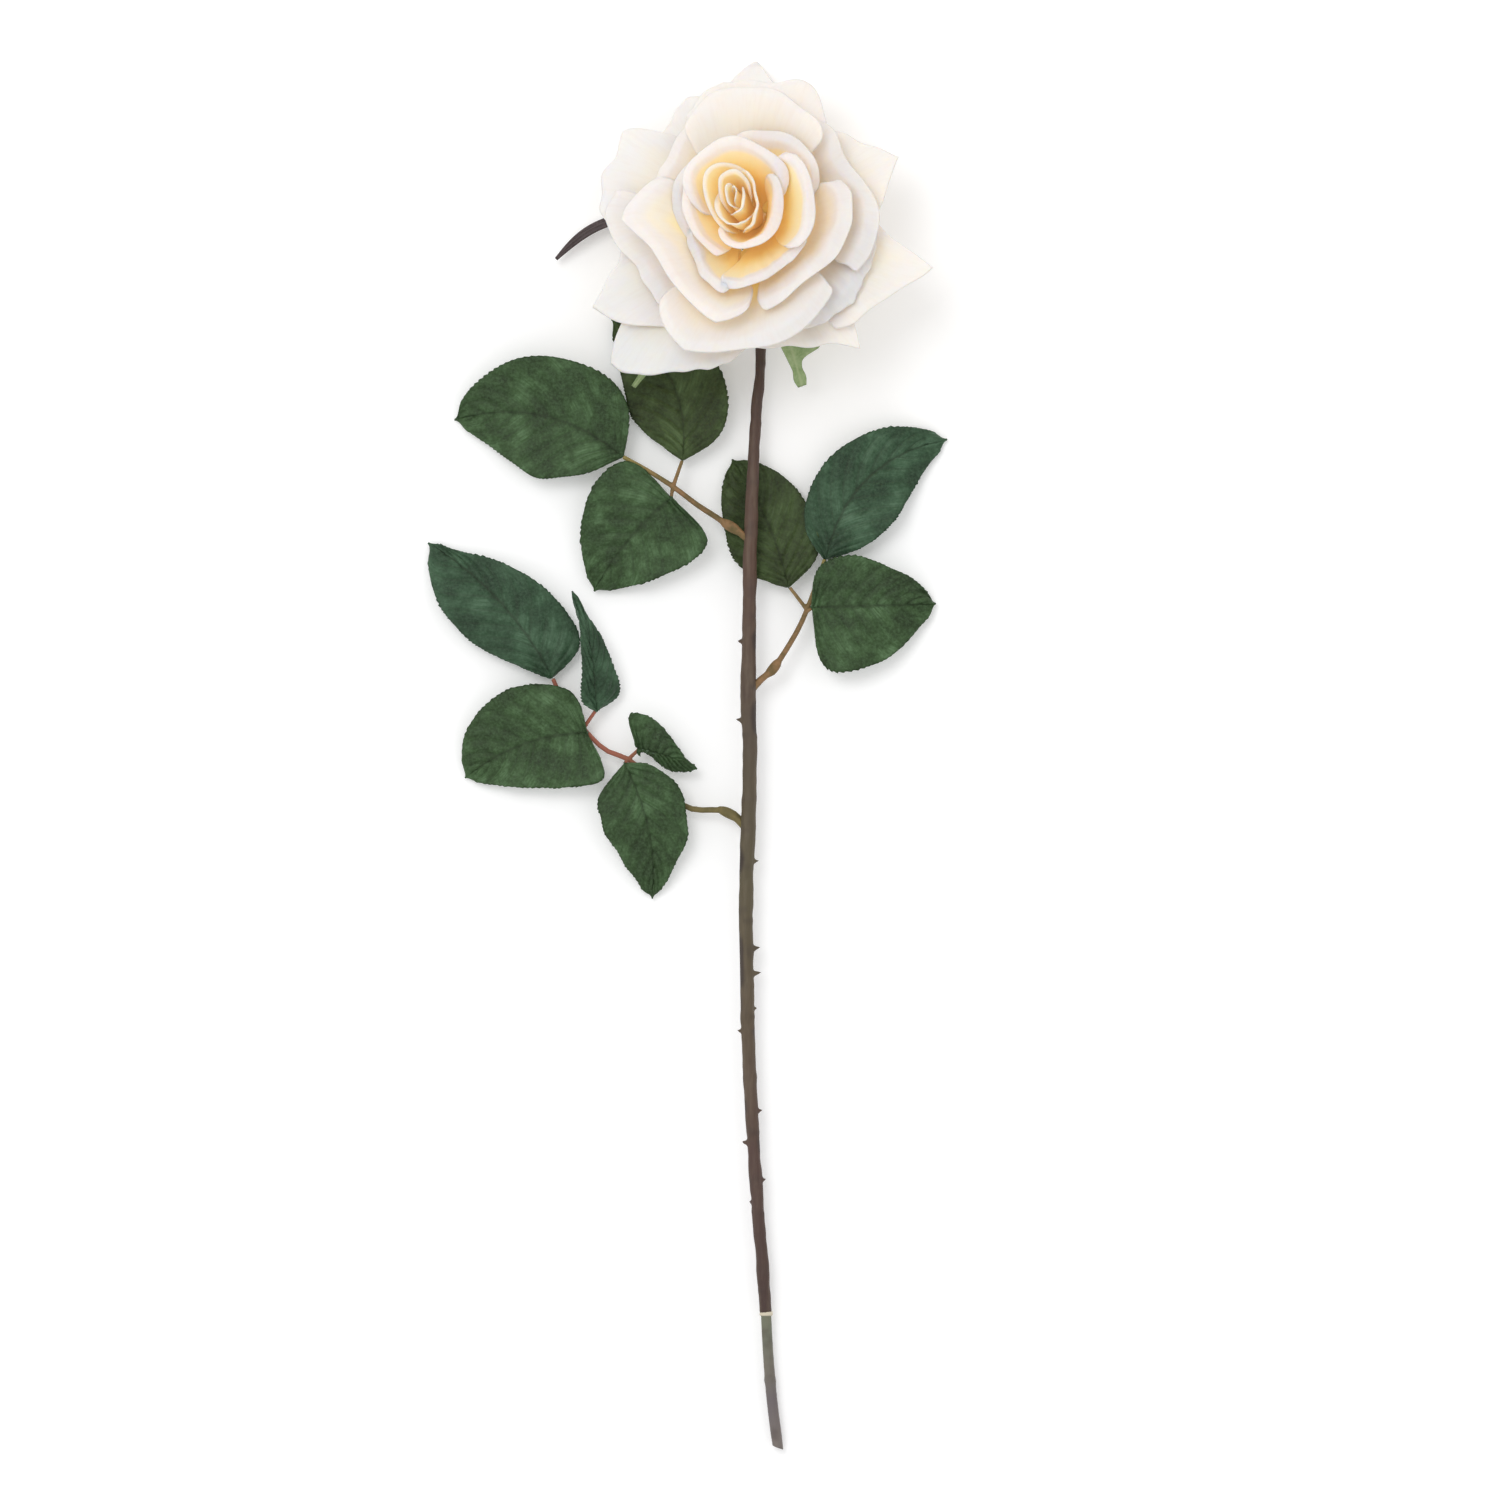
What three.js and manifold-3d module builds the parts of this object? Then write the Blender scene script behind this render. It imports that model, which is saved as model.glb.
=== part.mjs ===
// Cut rose: a single open bloom on a long stem with three compound leaves, lying on a flat surface.
// Millimetres. +Y runs from the cut end to the bloom, +X is across, +Z is up from the surface.
// The bloom's neck bends upwards, so the flower faces up and leans a little towards +Y and -X.
// Petals, sepals and leaflets are thin closed sheets. Every sheet is a grid of rows from its base to its tip.
import * as THREE from "three";
import { mergeVertices } from "three/addons/utils/BufferGeometryUtils.js";
import Module from "manifold-3d";

const wasm = await Module();
wasm.setup();

// ---------- driving dimensions ----------
const GAP = 0.3; // clearance between pieces that meet
const BLOOM_BASE = [2.8, 206.7, 31.4]; // where the bloom's axis leaves the hip
const BLOOM_LEAN = [-0.21, 0.33, 1]; // direction of the bloom's axis
const HIP_LENGTH = 14; // from the neck to the lowest petals
const SEAT_RADIUS = [1, 11]; // radius at which the innermost and outermost petals grow
const SEAT_HEIGHT = [11, 0]; // height at which they grow
const PETAL_THICKNESS = [0.3, 0.5]; // at the base and at the rim
const PETAL_COLUMNS = 8;
const PETAL_ROWS = 6;
const SQUEEZE = 0.42; // how far the heart of the bloom is narrowed across X
const HEART_LEAN = 3.2; // how far the heart leans out of the middle of the petals around it
const REFLEX = 8; // how far the outermost petals bend down on the low side
const REFLEX_SIDE = 112; // degrees, the direction of the low side
const LEAF_THICKNESS = 0.6;
const LEAF_ROWS = [0, 0.1, 0.27, 0.46, 0.66, 0.85, 1];
const LEAF_COLUMNS = 4;
const RACHIS_RADIUS = 1.15;
const STEM_SIDES = 10;
const THORN_RADIUS = 1.9;

// ---------- colours ----------
const CREAM = "#efe6da";
const PEACH = "#f3d3a0";
const LEAF_GREEN = "#3d5a34";
const LEAF_BLUE_GREEN = "#35563c";
const PETIOLE = "#8a7a4a";
const SAGE = "#9aab78";
const BARK = "#54443a";
const BARE_WOOD = "#7b776c";
const PURPLE_BROWN = "#4a4040";
const HIP_GREEN = "#7f9163";

const rose = new THREE.Group();

function addPiece(name, geometry, color, roughness = 0.7) {
  const material = new THREE.MeshStandardMaterial({ color, roughness, metalness: 0 });
  const mesh = new THREE.Mesh(geometry, material);
  mesh.name = name;
  rose.add(mesh);
}

// ---------- geometry helpers ----------
const radians = (degrees) => (degrees * Math.PI) / 180;
const mix = (a, b, k) => a + (b - a) * k;
const clamp = (x, low, high) => Math.min(Math.max(x, low), high);
const point = (p) => new THREE.Vector3(...p);

function smooth(x) {
  const k = clamp(x, 0, 1);
  return k * k * (3 - 2 * k);
}

// A value read from an evenly spaced list by a curve through its entries. k runs from 0 to 1.
function along(list, k) {
  const spot = clamp(k, 0, 1) * (list.length - 1);
  const i = Math.min(Math.floor(spot), list.length - 2);
  const f = spot - i;
  const before = list[Math.max(i - 1, 0)];
  const after = list[Math.min(i + 2, list.length - 1)];
  const slopeA = (list[i + 1] - before) / 2;
  const slopeB = (after - list[i]) / 2;
  const f2 = f * f;
  const f3 = f2 * f;
  return (
    (2 * f3 - 3 * f2 + 1) * list[i] + (f3 - 2 * f2 + f) * slopeA + (3 * f2 - 2 * f3) * list[i + 1] + (f3 - f2) * slopeB
  );
}

function geometryFrom(positions, index) {
  const geometry = new THREE.BufferGeometry();
  geometry.setAttribute("position", new THREE.Float32BufferAttribute(positions, 3));
  geometry.setIndex(index);
  geometry.computeVertexNormals();
  return geometry;
}

// A closed thin solid on both sides of a grid of points. grid[row][column], thickness(row share) in mm.
function sheet(grid, thickness) {
  const rows = grid.length;
  const columns = grid[0].length;
  const count = rows * columns;
  const positions = [];
  for (const side of [0.5, -0.5]) {
    for (let j = 0; j < rows; j++) {
      for (let i = 0; i < columns; i++) {
        const lengthwise = grid[Math.min(j + 1, rows - 1)][i].clone().sub(grid[Math.max(j - 1, 0)][i]);
        const across = grid[j][Math.min(i + 1, columns - 1)].clone().sub(grid[j][Math.max(i - 1, 0)]);
        const normal = lengthwise.cross(across).normalize();
        const p = grid[j][i].clone().addScaledVector(normal, side * thickness(j / (rows - 1)));
        positions.push(p.x, p.y, p.z);
      }
    }
  }
  const index = [];
  const at = (j, i) => j * columns + i;
  for (let j = 0; j < rows - 1; j++) {
    for (let i = 0; i < columns - 1; i++) {
      const [a, b, c, d] = [at(j, i), at(j, i + 1), at(j + 1, i + 1), at(j + 1, i)];
      index.push(a, d, c, a, c, b);
      index.push(count + a, count + c, count + d, count + a, count + b, count + c);
    }
  }
  const edge = (p, q) => index.push(q, p, count + p, q, count + p, count + q);
  for (let j = 0; j < rows - 1; j++) {
    edge(at(j, 0), at(j + 1, 0));
    edge(at(j + 1, columns - 1), at(j, columns - 1));
  }
  for (let i = 0; i < columns - 1; i++) {
    edge(at(rows - 1, i), at(rows - 1, i + 1));
    edge(at(0, i + 1), at(0, i));
  }
  return geometryFrom(positions, index);
}

// A closed round rod along a list of centres, with a radius for each. reference is never parallel to it.
function rod(centres, radii, sides, reference) {
  const positions = [];
  const index = [];
  const last = centres.length - 1;
  for (let k = 0; k <= last; k++) {
    const tangent = centres[Math.min(k + 1, last)].clone().sub(centres[Math.max(k - 1, 0)]).normalize();
    const a = tangent.clone().cross(reference).normalize();
    const b = tangent.clone().cross(a);
    for (let s = 0; s < sides; s++) {
      const turn = (2 * Math.PI * s) / sides;
      const p = centres[k].clone();
      p.addScaledVector(a, radii[k] * Math.cos(turn));
      p.addScaledVector(b, radii[k] * Math.sin(turn));
      positions.push(p.x, p.y, p.z);
    }
  }
  for (let k = 0; k < last; k++) {
    for (let s = 0; s < sides; s++) {
      const next = (s + 1) % sides;
      const [p, q] = [k * sides + s, k * sides + next];
      index.push(p, q, q + sides, p, q + sides, p + sides);
    }
  }
  for (let s = 1; s < sides - 1; s++) {
    index.push(0, s + 1, s);
    index.push(last * sides, last * sides + s, last * sides + s + 1);
  }
  return geometryFrom(positions, index);
}

// Samples of a curve through the given points.
function curvePoints(points, count) {
  return new THREE.CatmullRomCurve3(points.map(point), false, "centripetal").getSpacedPoints(count);
}

function toSolid(geometry) {
  const bare = geometry.clone();
  bare.deleteAttribute("normal");
  bare.deleteAttribute("uv");
  const merged = mergeVertices(bare, 1e-4);
  const mesh = new wasm.Mesh({
    numProp: 3,
    vertProperties: new Float32Array(merged.attributes.position.array),
    triVerts: new Uint32Array(merged.index.array),
  });
  return new wasm.Manifold(mesh);
}

function joined(geometries) {
  const solid = geometries.map(toSolid).reduce((whole, piece) => whole.add(piece));
  const mesh = solid.getMesh();
  return geometryFrom(mesh.vertProperties, Array.from(mesh.triVerts));
}

// ---------- the bloom's own axes ----------
const UP = new THREE.Vector3(0, 0, 1);
const bloomAxis = point(BLOOM_LEAN).normalize();
const bloomX = new THREE.Vector3(1, 0, 0).addScaledVector(bloomAxis, -bloomAxis.x).normalize();
const bloomY = bloomAxis.clone().cross(bloomX);

function fromBloom(x, y, z) {
  return point(BLOOM_BASE).addScaledVector(bloomX, x).addScaledVector(bloomY, y).addScaledVector(bloomAxis, z);
}

// ---------- petals ----------
// All petals share one family of profiles, so they nest without crossing. openness 0 is the furled heart
// and 1 the outermost guard petal. The profile leaves the seat, bends up into a cup and flares at its end.
function petalDirection(openness, s) {
  const lean = -8 + 98 * openness;
  const foot = (30 - 45 * openness) * Math.exp(-s / 12);
  const flare = (10 + 10 * openness) * (s / (45 + 20 * openness)) ** 3;
  return radians(lean + foot + flare);
}

// Radius and height of the point at length s along the profile.
function petalProfile(openness, s) {
  const steps = 24;
  let r = mix(SEAT_RADIUS[0], SEAT_RADIUS[1], openness);
  let h = mix(SEAT_HEIGHT[0], SEAT_HEIGHT[1], openness);
  for (let k = 0; k < steps; k++) {
    const direction = petalDirection(openness, (s * (k + 0.5)) / steps);
    r += (Math.sin(direction) * s) / steps;
    h += (Math.cos(direction) * s) / steps;
  }
  return [r, h];
}

// One smooth unevenness shared by the whole bloom, which leaves the petals nested.
function uneven(x, y, h) {
  const r = Math.hypot(x, y);
  const amount = smooth((Math.hypot(r, h) - 12) / 18);
  const narrow = amount * Math.exp(-((r / 16) ** 2));
  const low = (1 + Math.cos(Math.atan2(y, x) - radians(REFLEX_SIDE))) / 2;
  const dx = 1.3 * Math.sin(0.085 * y + 0.06 * h + 1.3) + 0.6 * Math.sin(0.15 * y - 0.11 * x + 0.4);
  const dy = 1.3 * Math.sin(0.08 * x - 0.07 * h + 0.5) + 0.6 * Math.sin(0.14 * x + 0.12 * y + 2.6);
  const sag = HEART_LEAN * smooth(r / 28) * smooth(h / 30);
  const dh = 1.5 * Math.sin(0.075 * x + 0.09 * y + 2.1) + 0.8 * Math.sin(0.16 * x - 0.13 * y);
  return [
    x * (1 - SQUEEZE * narrow) + amount * dx,
    y * (1 + 0.5 * SQUEEZE * narrow) + amount * dy - sag,
    h + amount * dh - REFLEX * (r / 66) ** 3 * low * low,
  ];
}

// centre: direction of the petal in degrees. half: half its angular width at the rim. lengths: how far it
// reaches along the profile, from its clockwise edge to the other. twist: how much more open the second edge is.
function addPetal({ name, centre, half, openness, lengths, twist = -0.006, foot = 0.5 }) {
  const grid = [];
  for (let j = 0; j <= PETAL_ROWS; j++) {
    const v = j / PETAL_ROWS;
    const row = [];
    for (let i = 0; i <= PETAL_COLUMNS; i++) {
      const u = (2 * i) / PETAL_COLUMNS - 1;
      const s = v * along(lengths, (u + 1) / 2);
      const [r, h] = petalProfile(openness + twist * u, s);
      const angle = radians(centre + half * u * mix(foot, 1, smooth(v / 0.7)));
      row.push(fromBloom(...uneven(r * Math.cos(angle), r * Math.sin(angle), h)));
    }
    grid.push(row);
  }
  const color = new THREE.Color(PEACH).lerp(new THREE.Color(CREAM), smooth(openness / 0.6));
  addPiece(name, sheet(grid, (v) => mix(...PETAL_THICKNESS, v)), color, 0.75);
}

// The heart: tightly furled petals, each a little more open than the one inside it.
const heart = [
  { name: "petal_01", centre: 20, half: 125, openness: 0.0, lengths: [31, 34, 34, 34, 32] },
  { name: "petal_02", centre: 200, half: 110, openness: 0.032, lengths: [29, 34, 35, 34, 30] },
  { name: "petal_03", centre: 330, half: 105, openness: 0.064, lengths: [29, 34, 36, 34, 29] },
  { name: "petal_04", centre: 110, half: 105, openness: 0.096, lengths: [29, 35, 36, 35, 29] },
  { name: "petal_05", centre: 240, half: 100, openness: 0.128, lengths: [28, 34, 36, 34, 29] },
  { name: "petal_06", centre: 15, half: 100, openness: 0.16, lengths: [28, 34, 36, 35, 28] },
  { name: "petal_07", centre: 145, half: 98, openness: 0.19, lengths: [28, 35, 37, 35, 28] },
];

// Petals that stand around the heart, with their rims turned out.
const inner = [
  { name: "petal_08", centre: 305, half: 98, openness: 0.25, twist: 0.04, lengths: [31, 32, 34.5, 34, 40] },
  { name: "petal_09", centre: 97, half: 86, openness: 0.325, lengths: [36, 41, 43, 38, 33] },
  { name: "petal_10", centre: 184, half: 52, openness: 0.36, lengths: [33, 34, 34, 31, 27] },
  { name: "petal_11", centre: 5, half: 48, openness: 0.4, lengths: [38, 41, 43, 44, 42] },
  { name: "petal_12", centre: 296, half: 46, openness: 0.435, lengths: [42, 38, 35, 36, 36] },
  { name: "petal_13", centre: 223, half: 38, openness: 0.47, lengths: [31, 32, 34, 38, 42] },
  { name: "petal_14", centre: 160, half: 50, openness: 0.5, lengths: [34, 34, 33, 32, 31] },
  { name: "petal_15", centre: 60, half: 50, openness: 0.53, lengths: [36, 39, 40, 38, 34] },
];

const middle = [
  { name: "petal_16", centre: 212, half: 62, openness: 0.565, lengths: [41, 46, 50, 44, 42, 42, 46, 50, 43] },
  { name: "petal_17", centre: 328, half: 50, openness: 0.59, lengths: [42, 40, 41, 44, 46] },
  { name: "petal_18", centre: 82, half: 42, openness: 0.62, lengths: [46, 49.5, 54, 54.5, 48] },
  { name: "petal_19", centre: 138, half: 38, openness: 0.655, lengths: [48, 48, 41, 38, 40] },
];

const outer = [
  { name: "petal_20", centre: 270, half: 48, openness: 0.715, lengths: [46, 55, 48.5, 50, 48] },
  { name: "petal_21", centre: 12, half: 42, openness: 0.75, lengths: [46, 46, 43, 40, 46] },
  { name: "petal_22", centre: 83, half: 36, openness: 0.785, lengths: [42, 52, 54, 55.5, 50] },
  { name: "petal_23", centre: 196, half: 34, openness: 0.82, lengths: [52, 51, 43.5, 41, 40] },
  { name: "petal_24", centre: 322, half: 36, openness: 0.85, lengths: [42, 46, 46, 44, 40] },
];

// Guard petals: flat or bent down, with folded points and square corners.
const guards = [
  { name: "petal_25", centre: 155, half: 29, openness: 0.895, lengths: [42, 49, 57.5, 55.5, 54.6, 55, 55.6, 51, 45] },
  { name: "petal_26", centre: 23, half: 31, openness: 0.905, lengths: [35, 37, 41.5, 47, 51.5, 48, 44, 41, 38] },
  { name: "petal_27", centre: 205, half: 26, openness: 0.93, lengths: [41, 45, 49, 54, 60.5, 58.5, 53, 46, 42] },
  { name: "petal_28", centre: 336, half: 31, openness: 0.94, lengths: [48, 50.5, 51, 53.5, 58, 61.5, 48, 38, 35] },
  { name: "petal_29", centre: 110, half: 26, openness: 0.945, lengths: [46, 49, 51, 52, 53.5, 58, 54, 46, 42] },
  { name: "petal_30", centre: 243, half: 29, openness: 0.965, lengths: [52, 67, 66, 59.5, 54, 50.5, 47.8, 43, 37] },
  { name: "petal_31", centre: 93, half: 28, openness: 0.985, lengths: [44, 47, 49, 52, 64.5, 56, 50, 48, 44] },
  { name: "petal_32", centre: 293, half: 29, openness: 1.0, lengths: [37, 39, 40.5, 42, 44, 48, 53, 46, 41] },
];

for (const petal of [...heart, ...inner, ...middle, ...outer, ...guards]) {
  addPetal(petal);
}

// ---------- hip and petal seat ----------
const seatSlope = (SEAT_RADIUS[1] - SEAT_RADIUS[0]) / (SEAT_HEIGHT[0] - SEAT_HEIGHT[1]);
const seatLevel = SEAT_RADIUS[1] - 0.62;
const hipProfile = [
  [0, -HIP_LENGTH],
  [2.4, -HIP_LENGTH],
  [4.6, -HIP_LENGTH + 1.6],
  [6.4, -9.4],
  [7.2, -6.2],
  [7.0, -3.6],
  [8.6, -1.9],
  [seatLevel, -0.9],
  [seatLevel, 0],
  [seatLevel - 5 * seatSlope, 5],
  [0, seatLevel / seatSlope],
];
const hip = new THREE.LatheGeometry(
  hipProfile.map(([r, h]) => new THREE.Vector2(r, h)),
  12,
);
hip.applyMatrix4(new THREE.Matrix4().makeRotationX(Math.PI / 2));
hip.applyMatrix4(new THREE.Matrix4().makeBasis(bloomX, bloomY, bloomAxis).setPosition(point(BLOOM_BASE)));
addPiece("hip", joined([hip]), HIP_GREEN, 0.6);

// ---------- leaves ----------
// The outline of a leaflet: its half width, as a share of the widest, at share v of its length.
// taper shapes the end: above 1 it is drawn out, below 1 it is blunt.
function leafOutline(v, widest, taper) {
  const p = (taper * widest) / (1 - widest);
  return (v / widest) ** p * ((1 - v) / (1 - widest)) ** taper;
}

// A midrib from start to end that bulges sideways by bow and up by arch, as a function of its length share.
function bowed(start, end, bow, arch) {
  const span = end.clone().sub(start);
  const side = UP.clone().cross(span).normalize();
  return (v) => {
    const bulge = 4 * v * (1 - v);
    return start.clone().addScaledVector(span, v).addScaledVector(side, bow * bulge).addScaledVector(UP, arch * bulge);
  };
}

function curveAlong(path) {
  const curve = new THREE.CatmullRomCurve3(path.map(point), false, "centripetal");
  return (v) => curve.getPointAt(v);
}

// base and tip: ends of the midrib. bow: how far it bulges to its left. arch: how far it bulges up.
// path: the midrib itself, where it isn't one simple bow.
// half: half widths, left and right, looking from the base to the tip. fold: slope of both halves up from
// the midrib. roll: degrees that the blade is turned about its midrib, left side up, at the base and tip.
// sweep: how far the lobes beside the stalk lean back, as a share of their width.
// widest, taper and sweep may be a pair, left and right.
function addLeaflet(leaf) {
  const { name, base, tip, bow = 0, arch = 0, half, widest = 0.4, fold = 0.08, roll = [0, 0] } = leaf;
  const { color = LEAF_GREEN, columns = LEAF_COLUMNS, ends = [1.6, 1.3], wave = 0.8 } = leaf;
  const { taper = 0.85, sweep = 0, path } = leaf;
  const rib = path ? curveAlong(path) : bowed(point(base), point(tip), bow, arch);
  const ofSide = (value, u) => (Array.isArray(value) ? value[u > 0 ? 0 : 1] : value);
  const grid = LEAF_ROWS.map((v) => {
    const tangent = rib(Math.min(v + 0.02, 1)).sub(rib(Math.max(v - 0.02, 0))).normalize();
    const left = UP.clone().cross(tangent).normalize();
    const face = tangent.clone().cross(left);
    const turn = radians(mix(roll[0], roll[1], v));
    const across = left.clone().multiplyScalar(Math.cos(turn)).addScaledVector(face, Math.sin(turn));
    const normal = tangent.clone().cross(across);
    const row = [];
    for (let i = 0; i <= columns; i++) {
      const u = (2 * i) / columns - 1;
      const least = mix(ends[0], ends[1], v);
      const outline = leafOutline(v, ofSide(widest, u), ofSide(taper, u));
      const x = u * Math.max(ofSide(half, u) * outline, least);
      const lift = fold * Math.abs(x) + wave * Math.abs(u) * Math.sin(9 * v + 2 * u) * Math.sin(Math.PI * v);
      const back = -ofSide(sweep, u) * Math.abs(x) * (1 - v) ** 1.5;
      row.push(rib(v).addScaledVector(across, x).addScaledVector(normal, lift).addScaledVector(tangent, back));
    }
    return row;
  });
  addPiece(name, sheet(grid, () => LEAF_THICKNESS), color, 0.55);
}

// A leaf's axis with its side stalks, grown as one piece, and the swelling where it leaves the stem.
function addRachis({ name, path, stalks, stipule, color = PETIOLE }) {
  const steps = Math.round(path.length * 2.2);
  const centres = curvePoints(path, steps);
  const radii = centres.map((_, k) => RACHIS_RADIUS * mix(1.15, 0.8, k / steps));
  const pieces = [rod(centres, radii, 6, UP)];
  for (const stalk of stalks) {
    const ends = curvePoints(stalk, 3);
    pieces.push(rod(ends, [0.95, 0.85, 0.8, 0.75], 6, UP));
  }
  const wing = new THREE.SphereGeometry(1, 8, 6);
  wing.scale(stipule.size[0], stipule.size[1], stipule.size[2]);
  wing.rotateZ(radians(stipule.turn));
  wing.translate(...stipule.at);
  pieces.push(wing);
  addPiece(name, joined(pieces), color, 0.6);
}

addRachis({
  name: "rachis_a",
  path: [
    [-3.2, 85.6, 10.6], [-11.9, 91.9, 11.2], [-21, 97.8, 11], [-30.5, 105, 10.2], [-41, 111.6, 9.8], [-50.3, 116.8, 9.6],
  ],
  stalks: [
    [[-30.5, 105, 10.2], [-28.6, 110.6, 8.8], [-26.9, 115.4, 7.8]],
    [[-30.5, 105, 10.2], [-31, 102.6, 10.8], [-31.2, 101, 11.2]],
  ],
  stipule: { at: [-8.4, 89.4, 10.9], size: [4.6, 2, 1.5], turn: 144 },
});
addLeaflet({
  name: "leaflet_a1", base: [-51, 117.3, 9.7], tip: [-117.6, 131.5, 0.6], bow: -9, arch: 3.4,
  half: [24, 24.5], widest: 0.42, roll: [-4, -3],
});
addLeaflet({
  name: "leaflet_a2", base: [-26.6, 116.3, 7.6], tip: [-55, 171.5, 3.4], bow: -10, arch: -1.2,
  half: [20, 20], widest: 0.42, roll: [-7, -4],
});
addLeaflet({
  name: "leaflet_a3", base: [-31.6, 100.2, 11.4], tip: [-61.9, 63.4, 2.4], bow: -2.5, arch: 1,
  half: [25, 25], widest: 0.26, sweep: [0.3, 0.1],
});

addRachis({
  name: "rachis_b",
  path: [
    [3.3, 25.4, 10.6], [5.6, 28.4, 10.4], [10, 33.7, 9.8], [18.6, 47.5, 8.4], [22.6, 56.2, 7.8], [29.7, 76.2, 7.8],
  ],
  stalks: [
    [[22.6, 56.2, 7.8], [18.6, 61.4, 7.8], [15.8, 65, 7.8]],
    [[22.2, 55.2, 7.8], [23.2, 56, 9], [24.4, 56.7, 10]],
  ],
  stipule: { at: [9.4, 33, 10], size: [5, 2.1, 1.5], turn: 54 },
});
addLeaflet({
  name: "leaflet_b1", base: [15.2, 65.8, 7.8], tip: [-7.1, 116, 1.4], bow: -2.6, arch: -1.6,
  half: [18, 18], widest: 0.42, wave: 0.5,
});
addLeaflet({
  name: "leaflet_b2", base: [30.3, 77, 7.8], tip: [78.4, 123.9, 0.6], bow: 11, arch: 2,
  half: [17, 19], widest: 0.4, color: LEAF_BLUE_GREEN,
});
addLeaflet({
  name: "leaflet_b3", base: [25, 57, 10.4], tip: [74, 58.6, 1.6], arch: 2.6,
  half: [20, 25.5], widest: 0.3, sweep: 0.12, roll: [4, 0],
});

addRachis({
  name: "rachis_c",
  path: [
    [-5, -28.6, 7.8], [-7.6, -25.8, 7.4], [-11.6, -23.2, 6.6], [-17.8, -23.4, 5.6], [-25, -22.2, 5], [-37, -13, 5],
    [-48.3, -3.2, 5.4], [-57.4, 0.6, 5.4], [-66.1, 9.1, 5.2], [-73.6, 19, 5], [-78.2, 28.8, 5],
  ],
  stalks: [
    [[-48.3, -3.2, 5.4], [-46.2, -1.2, 6], [-44.2, 0.7, 6.6]],
    [[-48.3, -3.2, 5.4], [-48.9, -3.8, 6.6], [-49.5, -4.4, 7.8]],
    [[-66.1, 9.1, 5.2], [-63.6, 12.8, 6], [-61.2, 16.2, 7]],
    [[-65.4, 8.2, 5.2], [-64.9, 7.9, 6.1], [-64.6, 7.7, 7]],
  ],
  stipule: { at: [-9.4, -24.4, 7], size: [4.4, 2, 1.5], turn: 150 },
});
addLeaflet({
  name: "leaflet_c1", base: [-78.9, 30.1, 5], tip: [-127.9, 82.8, 0.8], bow: -5, arch: 1.6,
  half: [20, 18], widest: [0.53, 0.28], taper: [0.75, 1.25], sweep: [0, 0.3], color: LEAF_BLUE_GREEN,
});
addLeaflet({
  name: "leaflet_c2", base: [-60.7, 17, 7.6], tip: [-70.1, 63.8, 9], bow: -2.4, arch: 6,
  half: [7, 9.5], widest: 0.15, sweep: [0, 0.4], roll: [26, 56],
});
addLeaflet({
  name: "leaflet_c3", base: [-65.2, 7.4, 8], tip: [-113.3, -10.7, 0.9], bow: -4.4, arch: 1.4,
  half: [21.5, 22.5], widest: [0.3, 0.38], taper: [0.8, 0.7], sweep: [0.75, 0.1],
});
addLeaflet({
  name: "leaflet_c4", base: [-43.6, 1.1, 7.2], tip: [-21, -7.1, 6.4], bow: 1, arch: 0.6,
  half: [13.5, 4.5], widest: [0.2, 0.55], taper: [2.2, 0.85], sweep: [0.9, 0], fold: 0.2, roll: [8, 0], wave: 0.3,
});
addLeaflet({
  name: "leaflet_c5", base: [-49.6, -5.4, 8.4], tip: [-38.8, -58.6, 0.9], bow: 4, arch: 3,
  half: [16.5, 17], widest: 0.36, taper: [1.1, 0.85], roll: [8, 0],
});

// ---------- sepals and bract ----------
function addSepal(name, direction, tip, arch, half) {
  const angle = radians(direction);
  const reach = seatLevel + 0.5;
  const base = fromBloom(reach * Math.cos(angle), reach * Math.sin(angle), -2.2).toArray();
  addLeaflet({
    name, base, tip, arch, half: [half, half], widest: 0.3, columns: 2,
    ends: [2.2, 0.9], wave: 0.3, fold: 0.15, color: SAGE,
  });
}
addSepal("sepal_1", 285, [20.6, 145, 15], 4, 5.6);
addSepal("sepal_2", 215, [-46.2, 144.6, 14], 5, 4.2);
addSepal("sepal_3", 350, [38, 196, 24], 3, 4.4);
addSepal("sepal_4", 60, [17, 234, 8], 3, 4.4);
addSepal("sepal_5", 135, [-20, 224, 5], 3, 4.4);

addLeaflet({
  name: "bract",
  path: [
    [1.2, 167, 6], [-14, 189, 6.6], [-34, 206, 6], [-50, 211.6, 5], [-59, 210, 4.4], [-68, 203.4, 4], [-77, 195.4, 3.8],
  ],
  half: [3.2, 3.2], widest: 0.8, roll: [0, 70], ends: [0.9, 0.8], wave: 0, color: PURPLE_BROWN,
});

// ---------- stem ----------
const stemPath = [
  [6.3, -222.6, 4.2], [4.8, -202, 5.2], [2.8, -178.2, 6.2], [0.8, -146.5, 7.2], [-0.8, -110.9, 8],
  [-1.2, -87.1, 8.4], [-1.6, -59.4, 8.8], [-0.8, -31.7, 9.4], [0, -4, 10], [-0.8, 23.8, 10.6],
  [-0.4, 43.6, 10.9], [0, 75.2, 11], [0.8, 99, 10.6], [2, 126.7, 8.8], [3.6, 146.5, 7], [4.4, 158.4, 6.2],
  [4.6, 170, 5.8], [4.9, 182, 6.2], [5.5, 191, 8], [6.2, 197.6, 11.6],
];
for (const below of [5, 2.5, 0]) {
  stemPath.push(point(BLOOM_BASE).addScaledVector(bloomAxis, -HIP_LENGTH - 0.8 - below).toArray());
}

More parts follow.
